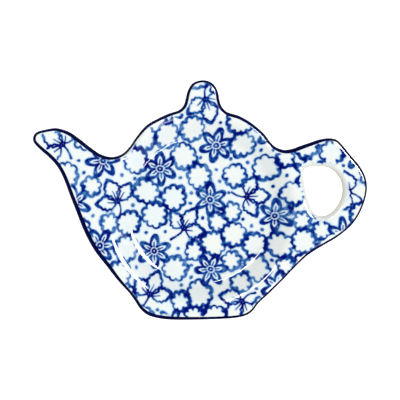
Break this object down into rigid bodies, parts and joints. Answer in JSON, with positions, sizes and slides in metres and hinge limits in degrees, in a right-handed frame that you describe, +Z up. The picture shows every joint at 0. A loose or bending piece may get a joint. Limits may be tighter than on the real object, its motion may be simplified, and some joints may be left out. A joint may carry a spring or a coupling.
{
  "type": "tea bag rest",
  "caption": "Teapot-shaped glazed ceramic rest for a used tea bag, with a round well, a loop handle with a finger hole, a foot ring and a blue edge line.",
  "frame": {"origin": "middle of the bounding box in plan, on the plane that the foot ring stands on", "axes": "+X from the spout towards the handle, +Y from the flat base of the teapot shape towards its lid knob, +Z up out of the well"},
  "size_m": [0.12, 0.0856, 0.015],
  "materials": {
    "fired_clay": "matt fired white earthenware",
    "bare_clay": "matt, unglazed, slightly sandy",
    "white_glaze": "clear gloss glaze over white clay",
    "printed_glaze": "clear gloss glaze over a cobalt blue all-over blossom and leaf print on white",
    "edge_blue": "dark cobalt band under gloss glaze"
  },
  "bodies": {
    "root": {"clay_body": "fired_clay", "foot_ring": "bare_clay", "rolled_rim": "white_glaze", "finger_hole_lip": "white_glaze", "face_glaze": "printed_glaze", "back_glaze": "white_glaze", "edge_line": "edge_blue"}
  },
  "joints": []
}
